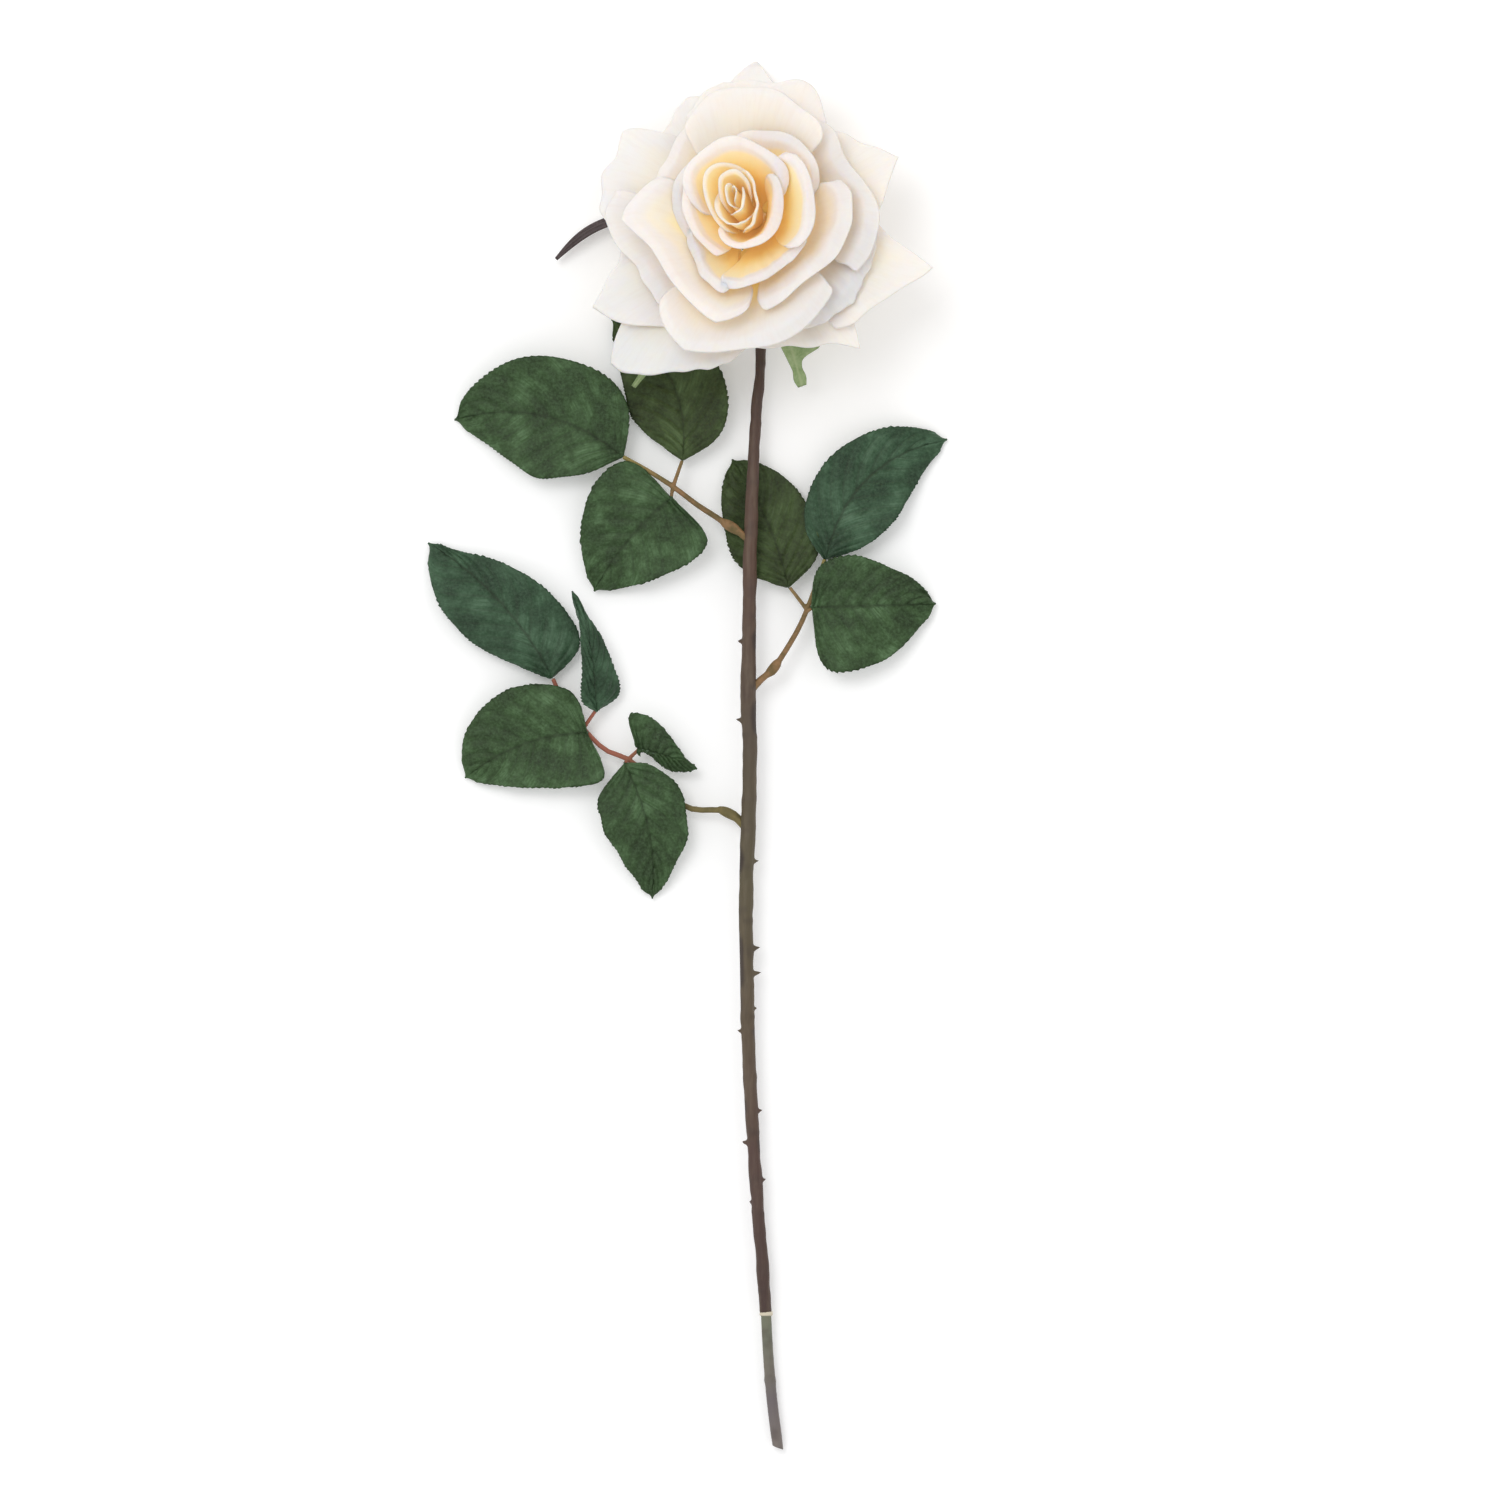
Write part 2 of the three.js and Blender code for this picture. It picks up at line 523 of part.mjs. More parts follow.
// Thickness of the stem along Y, with swellings where the leaves and old buds sit.
function stemRadius(y) {
  const swellings = [[85, 0.5], [24, 0.6], [-31, 0.5], [-129, 0.25], [-200, 0.25], [-221, 0.15]];
  const plain = along([2.5, 2.6, 2.75, 2.9, 3.0, 3.0, 2.85, 2.5, 2.15, 2.0], (y + 222) / 424);
  return swellings.reduce((sum, [centre, extra]) => sum + extra * Math.exp(-(((y - centre) / 4) ** 2)), plain);
}

// Small thorns: position along Y, side of the stem, length.
const thorns = [
  [43.6, -1, 2.6], [12.5, -1, 3], [-43.6, 1, 2.6], [-78, 1, 3.4], [-88, 1, 4], [-102, 1, 1.6], [-110.9, -1, 2.4],
  [-142.6, 1, 2.2], [-155.2, -1, 3], [-170, 1, 1.6], [-179, -1, 2],
];
const stemCentres = curvePoints(stemPath, 44);
const stemRadii = stemCentres.map((p) => stemRadius(p.y));
const SIDEWAYS = new THREE.Vector3(1, 0, 0);
const stemPieces = [rod(stemCentres, stemRadii, STEM_SIDES, SIDEWAYS)];
for (const [y, side, length] of thorns) {
  const nearest = stemCentres.reduce((a, b) => (Math.abs(a.y - y) < Math.abs(b.y - y) ? a : b));
  const thorn = new THREE.ConeGeometry(THORN_RADIUS, length + 1.4, 6);
  thorn.rotateZ(-side * radians(80));
  thorn.translate(nearest.x + side * (stemRadius(y) - 1 + length / 2), y, nearest.z);
  stemPieces.push(thorn);
}
addPiece("stem", joined(stemPieces), BARK, 0.65);

const barePath = [[6.35, -222.6 - GAP, 4.1], [7.1, -237.6, 3.2], [8.7, -257.4, 2.5], [11.1, -276.4, 2.3]];
const bareCentres = curvePoints(barePath, 8);
const bareRadii = bareCentres.map((_, k) => mix(2.1, 2.25, k / 8));
addPiece("stem_end", rod(bareCentres, bareRadii, STEM_SIDES, UP), BARE_WOOD, 0.6);

// ---------- origin: under the middle of the whole rose, on the surface it lies on ----------
const bounds = new THREE.Box3().setFromObject(rose, true);
const middlePoint = bounds.getCenter(new THREE.Vector3());
rose.position.set(-middlePoint.x, -middlePoint.y, -bounds.min.z);
rose.updateMatrixWorld(true);

export default rose;
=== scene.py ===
"""Looks of the cut rose: petals, leaves, sepals, bark and the studio around them.

Every thin piece starts from its CAD sheet. The sheet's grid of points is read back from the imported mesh,
refined along smooth curves, and given what the CAD leaves out: rolled rims, ruffles, veins and toothed edges.
Stem, leaf stalks and hip start from a fine, smooth copy of their CAD node.
Lengths are in metres. MM turns millimetres into metres.
"""

import math

import bmesh
import bpy
import numpy as np
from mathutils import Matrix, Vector


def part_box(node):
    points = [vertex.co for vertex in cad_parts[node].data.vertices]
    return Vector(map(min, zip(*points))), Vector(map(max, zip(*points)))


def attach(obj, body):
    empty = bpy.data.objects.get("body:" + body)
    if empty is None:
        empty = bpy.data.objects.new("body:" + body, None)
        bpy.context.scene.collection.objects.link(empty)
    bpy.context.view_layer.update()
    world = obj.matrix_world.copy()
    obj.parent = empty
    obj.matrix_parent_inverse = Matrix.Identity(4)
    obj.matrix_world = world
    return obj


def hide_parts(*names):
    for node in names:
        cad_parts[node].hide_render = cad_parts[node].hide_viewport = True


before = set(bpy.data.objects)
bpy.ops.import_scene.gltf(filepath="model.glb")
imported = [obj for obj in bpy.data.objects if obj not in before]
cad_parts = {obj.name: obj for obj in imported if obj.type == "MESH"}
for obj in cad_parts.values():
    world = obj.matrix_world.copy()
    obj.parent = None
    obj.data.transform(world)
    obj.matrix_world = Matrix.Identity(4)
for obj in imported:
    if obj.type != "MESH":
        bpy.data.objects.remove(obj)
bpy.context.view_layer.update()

MM = 0.001
PETAL_GRID = (8, 6)  # columns and rows of faces in the CAD sheets
LEAF_GRID = (4, 6)
SEPAL_GRID = (2, 6)
WELD = 0.001 * MM  # points nearer to each other than this are one
EDGE_LENGTH = 0.75 * MM  # edges through the thickness of a CAD sheet are shorter than this
EDGE_ANGLE = 1.0  # and the normals at their ends differ by more radians than this
EDGE_BULGE = 0.8  # how far the rounded edge of a sheet reaches out, in half thicknesses
LOWEST = 0.4 * MM  # the lowest that the middle of a thin sheet lies
UPWARDS = np.array([0.0, 0.0, 1.0])


# ---------- sums on points ----------
def unit(vectors):
    return vectors / np.maximum(np.linalg.norm(vectors, axis=-1, keepdims=True), 1e-12)


def smooth(x):
    """A soft step from 0 to 1."""
    x = np.clip(x, 0, 1)
    return x * x * (3 - 2 * x)


def hump(x, width):
    """1 at x = 0, and close to 0 beyond twice the width."""
    return np.exp(-(x / width) ** 2)


def normals_of(grid):
    """Unit normals of a grid of points: lengthwise x across."""
    lengthwise = np.gradient(grid, axis=0)
    across = np.gradient(grid, axis=1)
    return unit(np.cross(lengthwise, across))


def turn(vectors, axes, angles):
    """Each vector turned about its axis."""
    c = np.cos(angles)[..., None]
    s = np.sin(angles)[..., None]
    dot = (vectors * axes).sum(axis=-1, keepdims=True)
    return vectors * c + np.cross(axes, vectors) * s + axes * dot * (1 - c)


def curled(grid, angles):
    """The grid with each step along its length turned towards the back by angles[row step][column]."""
    steps = np.diff(grid, axis=0)
    across = unit(np.gradient(grid, axis=1))
    axes = unit(across[1:] + across[:-1])
    steps = turn(steps, axes, angles)
    return np.concatenate([grid[:1], grid[:1] + np.cumsum(steps, axis=0)])


def waves(rng, u, v, count, scale_u, scale_v):
    """Smooth unevenness between about -1 and 1 over the grid."""
    total = np.zeros(np.broadcast(u, v).shape)
    for _ in range(count):
        a = rng.normal() * scale_u
        b = rng.normal() * scale_v
        total += np.sin(a * u + b * v + rng.uniform(0, 2 * math.pi))
    return total / math.sqrt(count)


# ---------- reading the CAD sheets ----------
def points_of(name):
    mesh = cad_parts[name].data
    co = np.zeros(len(mesh.vertices) * 3)
    mesh.vertices.foreach_get("co", co)
    return co.reshape(-1, 3)


def patches_of(faces):
    """The faces in groups that hang together, the one with the first face first."""
    rest = set(faces)
    patches = []
    while rest:
        queue = [min(rest, key=lambda face: face.index)]
        rest.discard(queue[0])
        patch = set()
        while queue:
            face = queue.pop()
            patch.add(face)
            beside = {other for edge in face.edges for other in edge.link_faces} & rest
            rest -= beside
            queue.extend(beside)
        patches.append(patch)
    return patches


def walk_edge(faces, other_faces):
    """The vertices round the edge of a patch of faces, in order."""
    links = {}
    for face in faces:
        for edge in face.edges:
            if any(other in other_faces for other in edge.link_faces):
                a, b = edge.verts
                links.setdefault(a, []).append(b)
                links.setdefault(b, []).append(a)
    loop = [min(links, key=lambda vertex: vertex.index)]
    while len(loop) < len(links):
        ahead = [vertex for vertex in links[loop[-1]] if vertex not in loop[-2:]]
        loop.append(min(ahead, key=lambda vertex: vertex.index))
    return loop


def rooted(loop, columns, root):
    """The edge loop, turned so that it starts with the row of columns nearest to the root."""
    spots = np.array([vertex.co for vertex in loop])
    near = np.array([np.linalg.norm(root - spot, axis=1).min() for spot in spots])
    costs = []
    for k in range(len(loop)):
        run = [(k + i) % len(loop) for i in range(columns + 1)]
        spread = np.linalg.norm(np.diff(spots[run], axis=0), axis=1).sum()
        costs.append(near[run].mean() + spread)
    first = int(np.argmin(costs))
    return loop[first:] + loop[:first]


def fill_grid(loop, columns, rows):
    """Points of a patch as grid[row][column], from its edge loop, which starts along row 0."""
    grid = [[None] * (columns + 1) for _ in range(rows + 1)]
    spots = [(0, i) for i in range(columns + 1)]
    spots += [(j, columns) for j in range(1, rows + 1)]
    spots += [(rows, i) for i in range(columns - 1, -1, -1)]
    spots += [(j, 0) for j in range(rows - 1, 0, -1)]
    for (j, i), vertex in zip(spots, loop):
        grid[j][i] = vertex
    taken = set(loop)
    for j in range(1, rows):
        for i in range(1, columns):
            below = {edge.other_vert(grid[j - 1][i]) for edge in grid[j - 1][i].link_edges}
            beside = {edge.other_vert(grid[j][i - 1]) for edge in grid[j][i - 1].link_edges}
            grid[j][i] = next(vertex for vertex in below & beside if vertex not in taken)
            taken.add(grid[j][i])
    return np.array([[vertex.co for vertex in row] for row in grid])


def sheet_grid(name, size, root, facing):
    """The middle surface of a thin CAD sheet, as points[row][column]. Row 0 is the one at the root.
    facing(points) gives a direction for each point that the front of the sheet turns to."""
    columns, rows = size
    solid = bmesh.new()
    solid.from_mesh(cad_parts[name].data)
    bmesh.ops.remove_doubles(solid, verts=solid.verts, dist=WELD)
    solid.normal_update()
    solid.verts.index_update()
    solid.faces.index_update()
    through = {
        edge for edge in solid.edges
        if edge.calc_length() < EDGE_LENGTH and edge.verts[0].normal.angle(edge.verts[1].normal) > EDGE_ANGLE
    }
    rim = {face for face in solid.faces if any(edge in through for edge in face.edges)}
    front, back = patches_of(set(solid.faces) - rim)
    loop = rooted(walk_edge(front, rim), columns, root)
    back_edge = set(walk_edge(back, rim))
    partners = []
    for vertex in loop:
        found = [edge.other_vert(vertex) for edge in vertex.link_edges]
        found = [other for other in found if other in back_edge]
        partners.append(min(found, key=lambda other: (other.co - vertex.co).length))
    middle = (fill_grid(loop, columns, rows) + fill_grid(partners, columns, rows)) / 2
    solid.free()
    turned = (normals_of(middle) * facing(middle)).sum(axis=2).mean()
    return middle if turned > 0 else middle[:, ::-1]


# ---------- refining ----------
def spline_weights(knots, at):
    """Weights that turn values at the knots into values of a natural cubic spline at the given places.
    Beyond the last knot the spline goes on straight."""
    n = len(knots)
    gaps = np.diff(knots)
    system = np.eye(n)
    right = np.zeros((n, n))
    for k in range(1, n - 1):
        system[k, k - 1:k + 2] = gaps[k - 1], 2 * (gaps[k - 1] + gaps[k]), gaps[k]
        right[k, k - 1] = 6 / gaps[k - 1]
        right[k, k] = -6 / gaps[k - 1] - 6 / gaps[k]
        right[k, k + 1] = 6 / gaps[k]
    bends = np.linalg.solve(system, right)
    weights = np.zeros((len(at), n))
    for row, x in enumerate(at):
        k = min(max(np.searchsorted(knots, x) - 1, 0), n - 2)
        inside = min(x, knots[-1])
        h = gaps[k]
        b = (inside - knots[k]) / h
        a = 1 - b
        weights[row, k] += a
        weights[row, k + 1] += b
        weights[row] += ((a ** 3 - a) * bends[k] + (b ** 3 - b) * bends[k + 1]) * h * h / 6
        if x > inside:
            slope = bends[k] * h / 6 + bends[k + 1] * h / 3
            slope[k] -= 1 / h
            slope[k + 1] += 1 / h
            weights[row] += slope * (x - inside)
    return weights


def refined(middle, across, along):
    """A finer grid on the same surface. across and along run from 0 to 1."""
    columns = np.linspace(0, 1, middle.shape[1])
    steps = np.linalg.norm(np.diff(middle, axis=0), axis=2).mean(axis=1)
    rows = np.concatenate([[0], np.cumsum(steps)])
    rows /= rows[-1]
    return np.einsum("ai,bj,jic->bac", spline_weights(columns, across), spline_weights(rows, along), middle)


def trimmed(grid, ends):
    """The grid with each column cut or lengthened to its own share of the full length."""
    rows = np.linspace(0, 1, len(grid))
    result = np.empty_like(ends[..., None] * grid[:1])
    for i in range(grid.shape[1]):
        column = grid[:, i]
        slope = (column[-1] - column[-2]) / (rows[-1] - rows[-2])
        inside = np.minimum(ends[:, i], 1)
        for axis in range(3):
            result[:, i, axis] = np.interp(inside, rows, column[:, axis])
        result[:, i] += np.maximum(ends[:, i] - 1, 0)[:, None] * slope
    return result


def column_lengths(grid):
    return np.linalg.norm(np.diff(grid, axis=0), axis=2).sum(axis=0)


# ---------- building meshes ----------
def added(name, data):
    """A new object in the scene."""
    made = bpy.data.objects.new(name, data)
    bpy.context.scene.collection.objects.link(made)
    return made


def put_values(mesh, key, values):
    """One number for each point, which materials read by this key."""
    attribute = mesh.attributes.new(key, "FLOAT", "POINT")
    attribute.data.foreach_set("value", np.asarray(values, dtype=np.float32))


def build_sheet(name, grid, thickness, values):
    """A closed thin mesh on both sides of the grid, with a rounded edge. thickness is for the whole grid or
    per point. values holds, by key, numbers for the points."""
    rows, columns = grid.shape[:2]
    # Nothing goes through the surface that the rose lies on.
    grid = grid.copy()
    grid[..., 2] = LOWEST + LOWEST * np.logaddexp(0, grid[..., 2] / LOWEST - 1)
    normals = normals_of(grid)
    half = np.broadcast_to(thickness, (rows, columns))[..., None] / 2
    front = (grid + normals * half).reshape(-1, 3)
    back = (grid - normals * half).reshape(-1, 3)
    at = np.arange(rows * columns).reshape(rows, columns)
    edge = np.concatenate([at[0, :-1], at[:-1, -1], at[-1, :0:-1], at[:0:-1, 0]])
    edge_points = grid.reshape(-1, 3)[edge]
    outward = np.roll(edge_points, -1, axis=0) - np.roll(edge_points, 1, axis=0)
    outward = unit(np.cross(outward, normals.reshape(-1, 3)[edge]))
    middle = edge_points + outward * half.reshape(-1, 1)[edge] * EDGE_BULGE
    count = rows * columns
    a, b = at[:-1, :-1].ravel(), at[:-1, 1:].ravel()
    c, d = at[1:, 1:].ravel(), at[1:, :-1].ravel()
    ring = 2 * count + np.arange(len(edge))
    next_edge = np.roll(edge, -1)
    next_ring = np.roll(ring, -1)
    faces = np.concatenate([
        np.stack([a, d, c, b], axis=1),
        np.stack([a, b, c, d], axis=1) + count,
        np.stack([edge, next_edge, next_ring, ring], axis=1),
        np.stack([ring, next_ring, next_edge + count, edge + count], axis=1),
    ])
    mesh = bpy.data.meshes.new(name)
    mesh.from_pydata(np.concatenate([front, back, middle]).tolist(), [], faces.tolist())
    for key, value in values.items():
        flat = np.broadcast_to(value, (rows, columns)).ravel()
        put_values(mesh, key, np.concatenate([flat, flat, flat[edge]]))
    put_values(mesh, "front", np.concatenate([np.ones(count), np.zeros(count), np.full(len(edge), 0.5)]))
    mesh.polygons.foreach_set("use_smooth", [True] * len(mesh.polygons))
    mesh.update()
    return added(name, mesh)


def place(piece, node, material):
    piece.data.materials.clear()
    piece.data.materials.append(material)
    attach(piece, "root")
    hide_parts(node)


# ---------- materials ----------
class Nodes:
    """A short way to write a material's nodes."""

    def __init__(self, name):
        self.material = bpy.data.materials.new(name)
        self.material.use_nodes = True
        self.tree = self.material.node_tree
        self.shader = self.tree.nodes["Principled BSDF"]

    def put(self, node, key, value):
        socket = node.inputs[int(key)] if key.isdigit() else node.inputs[key]
        if isinstance(value, bpy.types.NodeSocket):
            self.tree.links.new(value, socket)
        else:
            socket.default_value = value

    def add(self, kind, settings=None, **inputs):
        node = self.tree.nodes.new(kind)
        for key, value in (settings or {}).items():
            setattr(node, key, value)
        for key, value in inputs.items():
            self.put(node, key, value)
        return node

    def shade(self, **inputs):
        """Sets the shader's inputs. An underscore stands for a space."""
        for key, value in inputs.items():
            self.put(self.shader, key.replace("_", " "), value)

    def attribute(self, name):
        return self.add("ShaderNodeAttribute", {"attribute_name": name}).outputs["Fac"]

    def math(self, operation, *values):
        node = self.add("ShaderNodeMath", {"operation": operation})
        for k, value in enumerate(values):
            self.put(node, str(k), value)
        return node.outputs[0]

    def times(self, value, factor):
        return self.math("MULTIPLY", value, factor)

    def mix(self, factor, a, b, blend="MIX"):
        node = self.add("ShaderNodeMix", {"data_type": "RGBA", "blend_type": blend})
        self.put(node, "0", factor)
        self.put(node, "6", a)
        self.put(node, "7", b)
        return node.outputs[2]

    def ramp(self, factor, stops):
        node = self.add("ShaderNodeValToRGB", Fac=factor)
        ramp = node.color_ramp
        while len(ramp.elements) < len(stops):
            ramp.elements.new(0.5)
        for element, (spot, color) in zip(ramp.elements, stops):
            element.position = spot
            element.color = color
        return node.outputs[0]

    def span(self, value, low, high, to_low=0.0, to_high=1.0):
        """A soft step from to_low to to_high while the value goes from low to high."""
        node = self.add("ShaderNodeMapRange", {"interpolation_type": "SMOOTHSTEP"})
        for k, number in enumerate((value, low, high, to_low, to_high)):
            self.put(node, str(k), number)
        return node.outputs[0]

    def noise(self, points, detail, roughness=0.5):
        node = self.add("ShaderNodeTexNoise", Vector=points, Scale=1.0, Detail=detail, Roughness=roughness)
        return node.outputs["Fac"]

    def object_points(self, per_metre):
        """The points of the piece, scaled so that noise has about so many spots per metre."""
        source = self.add("ShaderNodeTexCoord").outputs["Object"]
        return self.add("ShaderNodeMapping", Vector=source, Scale=per_metre).outputs[0]

    def grid_points(self, wide, long):
        """The points of a sheet by its own across and along attributes."""
        x = self.times(self.attribute("across"), wide)
        y = self.times(self.attribute("along"), long)
        return self.add("ShaderNodeCombineXYZ", X=x, Y=y, Z=self.attribute("seed")).outputs[0]

    def bump(self, height, strength, depth):
        node = self.add("ShaderNodeBump", Height=height, Strength=strength, Distance=depth * MM)
        self.shade(Normal=node.outputs[0])


def rgb(r, g, b):
    """A colour given as 0 to 255 on screen, as the linear values that nodes take."""
    def linear(x):
        x /= 255
        return x / 12.92 if x <= 0.04045 else ((x + 0.055) / 1.055) ** 2.4
    return (linear(r), linear(g), linear(b), 1)


CLOTH_GRAIN = (900, 900, 900)
BARK_GRAIN = (1300, 900, 1300)


def petal_material():
    m = Nodes("petal")
    # This attribute holds how gold each point is: the petals' own peach-to-gold colour, with painted glow
    # deep between the petals and painted highlight on the heart's near-white rims.
    gold_and_glow = m.attribute("gold_and_glow")
    grain = m.noise(m.grid_points(46, 5), 4.0, 0.6)
    broad = m.noise(m.object_points((60, 60, 60)), 2.0)
    fine = m.noise(m.object_points(CLOTH_GRAIN), 2.0)
    shade = m.math("ADD", gold_and_glow, m.times(m.math("SUBTRACT", broad, 0.5), 0.16))
    color = m.ramp(shade, [
        (0.0, rgb(243, 233, 228)),
        (0.25, rgb(249, 235, 217)),
        (0.55, rgb(254, 228, 180)),
        (0.8, rgb(253, 213, 142)),
        (1.0, rgb(240, 188, 92)),
    ])
    color = m.mix(m.times(m.span(grain, 0.42, 0.7), 0.1), color, rgb(238, 222, 206), "MULTIPLY")
    m.shade(
        Base_Color=color, Roughness=0.62, Specular_IOR_Level=0.3,
        Subsurface_Weight=0.6, Subsurface_Radius=(1.0, 0.62, 0.35), Subsurface_Scale=3 * MM,
        Sheen_Weight=0.12, Sheen_Roughness=0.5,
    )
    # Painted glow: a faint emission in the gold parts stands in for light that comes through the thin petals
    # around the heart.
    m.shade(Emission_Color=(1.0, 0.74, 0.36, 1), Emission_Strength=m.span(gold_and_glow, 0.2, 0.7, 0.0, 0.08))
    m.bump(m.math("ADD", m.times(grain, 0.7), m.times(fine, 0.3)), 0.12, 0.4)
    return m.material


# pale is the colour of the fine flecks and of the painted highlights.
def leaf_material(name, dark, light, pale, under, vein_color):
    m = Nodes(name)
    mottle = m.noise(m.object_points((80, 80, 80)), 4.0, 0.65)
    streaks = m.noise(m.grid_points(7, 60), 4.0, 0.6)
    fine = m.noise(m.object_points(CLOTH_GRAIN), 5.0, 0.7)
    color = m.mix(m.span(mottle, 0.3, 0.7), dark, light)
    # Lighter streaks along the veins: partly the leaf's own streaks, partly painted highlight.
    color = m.mix(m.times(m.span(streaks, 0.45, 0.8), 0.5), color, light)
    # Painted highlights: pale patches where mottle and streaks meet stand in for soft highlights on the
    # tilted surface.
    painted_highlight = m.times(m.span(mottle, 0.48, 0.72), m.span(streaks, 0.3, 0.7))
    color = m.mix(m.times(painted_highlight, 0.6), color, pale)
    color = m.mix(m.times(m.span(fine, 0.35, 0.75), 0.3), color, pale)
    color = m.mix(m.times(m.attribute("vein"), 0.55), color, vein_color)
    color = m.mix(m.span(m.attribute("front"), 0.0, 0.6, 1.0, 0.0), color, under)
    m.shade(Base_Color=color, Roughness=m.span(fine, 0.3, 0.7, 0.42, 0.6), Specular_IOR_Level=0.22)
    m.bump(m.math("ADD", m.times(streaks, 0.8), m.times(fine, 0.6)), 0.5, 0.5)
    return m.material


def stalk_material(name, low, high, marked, per_metre):
    """Two colours in spots, and a third where the mark attribute is 1."""
    m = Nodes(name)
    spots = m.noise(m.object_points((per_metre,) * 3), 5.0, 0.65)
    fine = m.noise(m.object_points(BARK_GRAIN), 3.0)
    color = m.mix(m.span(spots, 0.3, 0.7), low, high)
    m.shade(Base_Color=m.mix(m.attribute("mark"), color, marked), Roughness=0.7)
    m.bump(m.math("ADD", spots, m.times(fine, 0.5)), 0.5, 0.3)
    return m.material


def rod_material(name, node, stops, stretch, marked):
    """A stem whose colour changes along Y. stops are (share of the length, colour)."""
    m = Nodes(name)
    low, high = (corner[1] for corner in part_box(node))
    y = m.add("ShaderNodeSeparateXYZ", Vector=m.add("ShaderNodeTexCoord").outputs["Object"]).outputs[1]
    streaks = m.noise(m.object_points(stretch), 5.0, 0.65)
    patches = m.noise(m.object_points((90, 90, 90)), 3.0, 0.6)
    fine = m.noise(m.object_points(BARK_GRAIN), 3.0)
    share = m.math("DIVIDE", m.math("SUBTRACT", y, low), high - low)
    share = m.math("ADD", share, m.times(m.math("SUBTRACT", patches, 0.5), 0.12))
    color = m.ramp(share, stops)
    color = m.mix(m.times(m.span(streaks, 0.4, 0.75), 0.28), color, rgb(124, 110, 90))
    color = m.mix(m.times(m.span(patches, 0.5, 0.7), 0.35), color, rgb(58, 44, 38))
    m.shade(Base_Color=m.mix(m.attribute("mark"), color, marked), Roughness=0.6)
    m.bump(m.math("ADD", streaks, m.times(fine, 0.5)), 0.6, 0.3)
    return m.material


# ---------- petals ----------
PETAL_COUNT = 32
FIRST_OUTER = 16  # from this petal on the rim has folded points
FIRST_GUARD = 25  # and from this one on they are long and sharp
PETAL_ACROSS = np.linspace(0, 1, 65)
PETAL_ALONG = np.concatenate([np.linspace(0, 0.7, 16)[:-1], np.linspace(0.7, 1.0, 22)])  # denser at the rim
DENSE_ALONG = np.linspace(0, 1, 181)
PETAL_THICKNESS, RIM_THICKENING, RIM_BAND = 0.34, 0.12, 3  # in mm; the rim is thicker over this band
POINT_RISE = 2.5 * MM  # a point of the rim stands out from its neighbours by more than this
POINT_LENGTH, GUARD_POINT_LENGTH = 1.6, 3.0  # mm added to a point
POINT_WIDTH, CREASE_WIDTH = 0.04, 0.07  # shares of the petal's width
DENT_HEIGHT = 0.3  # mm

# Up to which petal; millimetres of the rim that turn outwards and by how many degrees; how far its corners
# are rounded off; how much longer the petal is to make up for the turn; height of its ruffles.
RIMS = (
    (2, 2.0, 25, 5, 0.0, 0.15),
    (7, 2.4, 50, 5, 0.0, 0.25),
    (8, 3.4, 75, 6, 0.0, 0.35),
    (9, 4.4, 75, 5, 0.5, 0.4),
    (13, 4.4, 70, 4, 0.0, 0.45),
    (15, 6.0, 62, 6, 0.5, 0.4),
    (17, 7.0, 52, 5, 0.5, 0.6),
    (18, 3.0, 35, 6, 1.0, 0.4),
    (19, 6.0, 50, 6, 0.5, 0.6),
    (21, 6.0, 38, 4, 1.0, 0.9),
    (22, 3.0, 30, 1.5, 1.0, 0.6),
    (24, 6.0, 38, 4, 1.0, 1.1),
    (32, 3.0, 25, 1.2, 0.4, 1.0),
)

# Up to which petal; how gold its rim is, from 0 for cream white to 1 for deep gold; then two steps towards
# gold, each as how much, from how many millimetres inside the rim, and over how many. None is where the
# rolled rim ends. The gold deeper in is partly the petals' own peach base and partly painted glow of light
# bouncing between the petals; the near-white rims of the heart are partly their own colour and partly painted
# highlight.
GOLD_AND_GLOW = (
    (7, 0.2, (0.42, 0.6, 2.5), (0.3, 3, 14)),
    (15, 0.04, (0.5, None, 3), (0.36, 8, 13)),
    (17, 0.04, (0.24, None, 5), (0.5, 15, 14)),
    (18, 0.06, (0.16, 3, 12), (0.5, 22, 14)),
    (19, 0.04, (0.24, None, 5), (0.5, 15, 14)),
    (24, 0.04, (0.22, 8, 8), (0.6, 17, 18)),
    (32, 0.04, (0.16, 8, 14), (0.55, 24, 18)),
)

hip_points = points_of("hip")
bloom_axis = unit(np.array([-0.21, 0.33, 1.0]))
above_hip = np.mean(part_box("hip"), axis=0) + bloom_axis * 70 * MM  # the fronts of the petals turn to this
petal_look = petal_material()


def row_for(table, k):
    return next(row[1:] for row in table if k <= row[0])


def petal_blush(k, from_rim, roll_length):
    """How gold each point of a petal is: partly the petal's own colour, partly painted glow deep in the bloom
    and painted highlight on the heart's rims.
    """
    at_rim, *steps = row_for(GOLD_AND_GLOW, k)
    total = at_rim
    for gain, start, over in steps:
        total = total + gain * smooth((from_rim - (roll_length if start is None else start)) / over)
    return total


def points_of_rim(lengths):
    """Columns where the rim of the CAD sheet comes to a point."""
    return [
        i for i in range(1, len(lengths) - 1)
        if lengths[i] > lengths[i - 1] and lengths[i] >= lengths[i + 1]
        and 2 * lengths[i] - lengths[i - 1] - lengths[i + 1] > POINT_RISE
    ]


